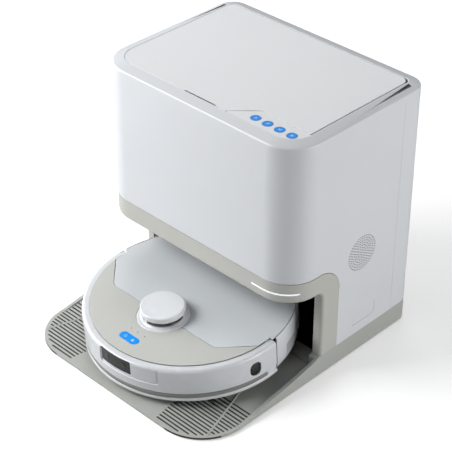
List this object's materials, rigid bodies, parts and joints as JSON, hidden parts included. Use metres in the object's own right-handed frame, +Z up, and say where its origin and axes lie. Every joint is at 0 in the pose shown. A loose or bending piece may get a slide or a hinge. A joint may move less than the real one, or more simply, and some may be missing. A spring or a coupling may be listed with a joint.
{
  "type": "robot vacuum with docking station",
  "caption": "Round robot vacuum and mop parked nose-out in a tall station that washes, empties and charges it; lid, buttons, wheels, brushes and mops move.",
  "frame": {"origin": "centre of the footprint of station and ramp, on the floor", "axes": "+Z up; the station's front and the parked robot's nose face -Y; +X is the right side with the vent and the power button, seen from the front"},
  "size_m": [0.412, 0.483, 0.4386],
  "materials": {
    "white_abs": "satin moulded, cool white",
    "grey_abs": "fine-grained, warm grey",
    "taupe_abs": "satin moulded, taupe",
    "black_abs": "matt black",
    "cool_cover": "satin, pale cool grey",
    "warm_deck": "satin, pale warm grey",
    "smoked_window": "polished, smoked black",
    "blue_button": "backlit blue",
    "lit_diffuser": "frosted white light guide",
    "rubber": "moulded rubber",
    "soft_strip": "grey elastomer",
    "clear_tank": "tinted translucent plastic",
    "gold_contact": "plated contact spring",
    "mop_cloth": "tufted microfibre",
    "filter_paper": "non-woven filter bag"
  },
  "bodies": {
    "station": {"base_plate": "grey_abs", "foot_front_left": "rubber", "foot_front_right": "rubber", "foot_rear_left": "rubber", "foot_rear_right": "rubber", "front_trim": "taupe_abs", "light_strip": "lit_diffuser", "cabinet_shell": "white_abs", "side_hatch": "white_abs", "vent_grille": "white_abs", "rear_cover": "white_abs", "power_inlet": "black_abs", "niche_liner": "black_abs", "wash_tray": "grey_abs", "charge_contact_left": "gold_contact", "charge_contact_right": "gold_contact", "top_rim": "white_abs", "control_panel": "white_abs", "clean_water_tank": "clear_tank", "clean_water_cap": "white_abs", "dirty_water_tank": "clear_tank", "dirty_water_cap": "white_abs", "dust_bag": "filter_paper", "suction_motor": "black_abs"},
    "lid": {"lid": "white_abs"},
    "drying_fan": {"drying_fan": "black_abs"},
    "robot": {"robot_chassis": "black_abs", "side_body": "white_abs", "deck_panel": "warm_deck", "lidar_skirt": "white_abs", "brush_guard": "grey_abs", "dust_bin": "clear_tank", "suction_fan": "black_abs", "battery_pack": "black_abs"},
    "bumper": {"bumper": "white_abs", "bumper_strip": "soft_strip", "front_window": "smoked_window", "side_sensor": "smoked_window"},
    "top_cover": {"top_cover": "cool_cover"},
    "lidar_rotor": {"lidar_rotor": "smoked_window"},
    "lidar_cap": {"lidar_cap": "white_abs"},
    "start_button": {"start_button": "blue_button"},
    "left_wheel_arm": {"left_wheel_arm": "black_abs"},
    "right_wheel_arm": {"right_wheel_arm": "black_abs"},
    "left_wheel": {"left_tyre": "rubber", "left_wheel_hub": "grey_abs"},
    "right_wheel": {"right_tyre": "rubber", "right_wheel_hub": "grey_abs"},
    "caster_fork": {"caster_fork": "grey_abs"},
    "caster_wheel": {"caster_wheel": "rubber"},
    "side_brush": {"side_brush": "grey_abs"},
    "roller_brush": {"roller_brush": "rubber"},
    "left_mop": {"mop_plate_left": "grey_abs", "mop_cloth_left": "mop_cloth"},
    "right_mop": {"mop_plate_right": "grey_abs", "mop_cloth_right": "mop_cloth"},
    "wash_button": {"wash_button": "blue_button"},
    "empty_button": {"empty_button": "blue_button"},
    "play_button": {"play_button": "blue_button"},
    "home_button": {"home_button": "blue_button"}
  },
  "joints": [
    {"name": "lid_hinge", "type": "hinge", "parent": "station", "child": "lid", "pos_m": [0, 0.211, 0.4361], "axis": [-1, 0, 0], "range_deg": [0, 80]},
    {"name": "wash_button_press", "type": "slide", "parent": "station", "child": "wash_button", "axis": [0, 0, -1], "range_m": [0, 0.0012], "stiffness_N_per_m": 600},
    {"name": "empty_button_press", "type": "slide", "parent": "station", "child": "empty_button", "axis": [0, 0, -1], "range_m": [0, 0.0012], "stiffness_N_per_m": 600},
    {"name": "play_button_press", "type": "slide", "parent": "station", "child": "play_button", "axis": [0, 0, -1], "range_m": [0, 0.0012], "stiffness_N_per_m": 600},
    {"name": "home_button_press", "type": "slide", "parent": "station", "child": "home_button", "axis": [0, 0, -1], "range_m": [0, 0.0012], "stiffness_N_per_m": 600},
    {"name": "drying_fan_spin", "type": "hinge", "parent": "station", "child": "drying_fan", "pos_m": [0.189, 0.1049, 0.1919], "axis": [1, 0, 0], "continuous": true},
    {"name": "robot_drive_out", "type": "slide", "parent": "station", "child": "robot", "axis": [0, -1, 0], "range_m": [0, 0.38]},
    {"name": "bumper_press", "type": "slide", "parent": "robot", "child": "bumper", "axis": [0, 0.9976, 0.0698], "range_m": [0, 0.004], "stiffness_N_per_m": 400},
    {"name": "top_cover_lift", "type": "slide", "parent": "robot", "child": "top_cover", "axis": [0, -0.0698, 0.9976], "range_m": [0, 0.035]},
    {"name": "lidar_spin", "type": "hinge", "parent": "robot", "child": "lidar_rotor", "pos_m": [0, -0.12204, 0.08243], "axis": [0, -0.0698, 0.9976], "continuous": true},
    {"name": "lidar_cap_press", "type": "slide", "parent": "robot", "child": "lidar_cap", "axis": [0, 0.0698, -0.9976], "range_m": [0, 0.0015], "stiffness_N_per_m": 600},
    {"name": "start_button_press", "type": "slide", "parent": "robot", "child": "start_button", "axis": [0, 0.0698, -0.9976], "range_m": [0, 0.001], "stiffness_N_per_m": 600},
    {"name": "left_suspension", "type": "hinge", "parent": "robot", "child": "left_wheel_arm", "pos_m": [-0.113, -0.0095, 0.05722], "axis": [-1, 0, 0], "range_deg": [0, 5]},
    {"name": "left_wheel_spin", "type": "hinge", "parent": "left_wheel_arm", "child": "left_wheel", "pos_m": [-0.113, -0.05398, 0.0481], "axis": [1, 0, 0], "continuous": true},
    {"name": "right_suspension", "type": "hinge", "parent": "robot", "child": "right_wheel_arm", "pos_m": [0.113, -0.0095, 0.05722], "axis": [-1, 0, 0], "range_deg": [0, 5]},
    {"name": "right_wheel_spin", "type": "hinge", "parent": "right_wheel_arm", "child": "right_wheel", "pos_m": [0.113, -0.05398, 0.0481], "axis": [1, 0, 0], "continuous": true},
    {"name": "caster_swivel", "type": "hinge", "parent": "robot", "child": "caster_fork", "pos_m": [0, -0.19486, 0.02722], "axis": [0, -0.0698, 0.9976], "continuous": true},
    {"name": "caster_wheel_spin", "type": "hinge", "parent": "caster_fork", "child": "caster_wheel", "pos_m": [0, -0.19428, 0.0189], "axis": [1, 0, 0], "continuous": true},
    {"name": "side_brush_spin", "type": "hinge", "parent": "robot", "child": "side_brush", "pos_m": [0.11, -0.16224, 0.01948], "axis": [0, -0.0698, 0.9976], "continuous": true},
    {"name": "roller_brush_spin", "type": "hinge", "parent": "robot", "child": "roller_brush", "pos_m": [0, -0.11327, 0.03593], "axis": [1, 0, 0], "continuous": true},
    {"name": "left_mop_spin", "type": "hinge", "parent": "robot", "child": "left_mop", "pos_m": [-0.062, 0.03428, 0.03322], "axis": [0, -0.0698, 0.9976], "continuous": true},
    {"name": "right_mop_spin", "type": "hinge", "parent": "robot", "child": "right_mop", "pos_m": [0.062, 0.03428, 0.03322], "axis": [0, -0.0698, 0.9976], "continuous": true}
  ],
  "couplings": [
    {"joint": "right_mop_spin", "follows": "left_mop_spin", "ratio": -1}
  ]
}
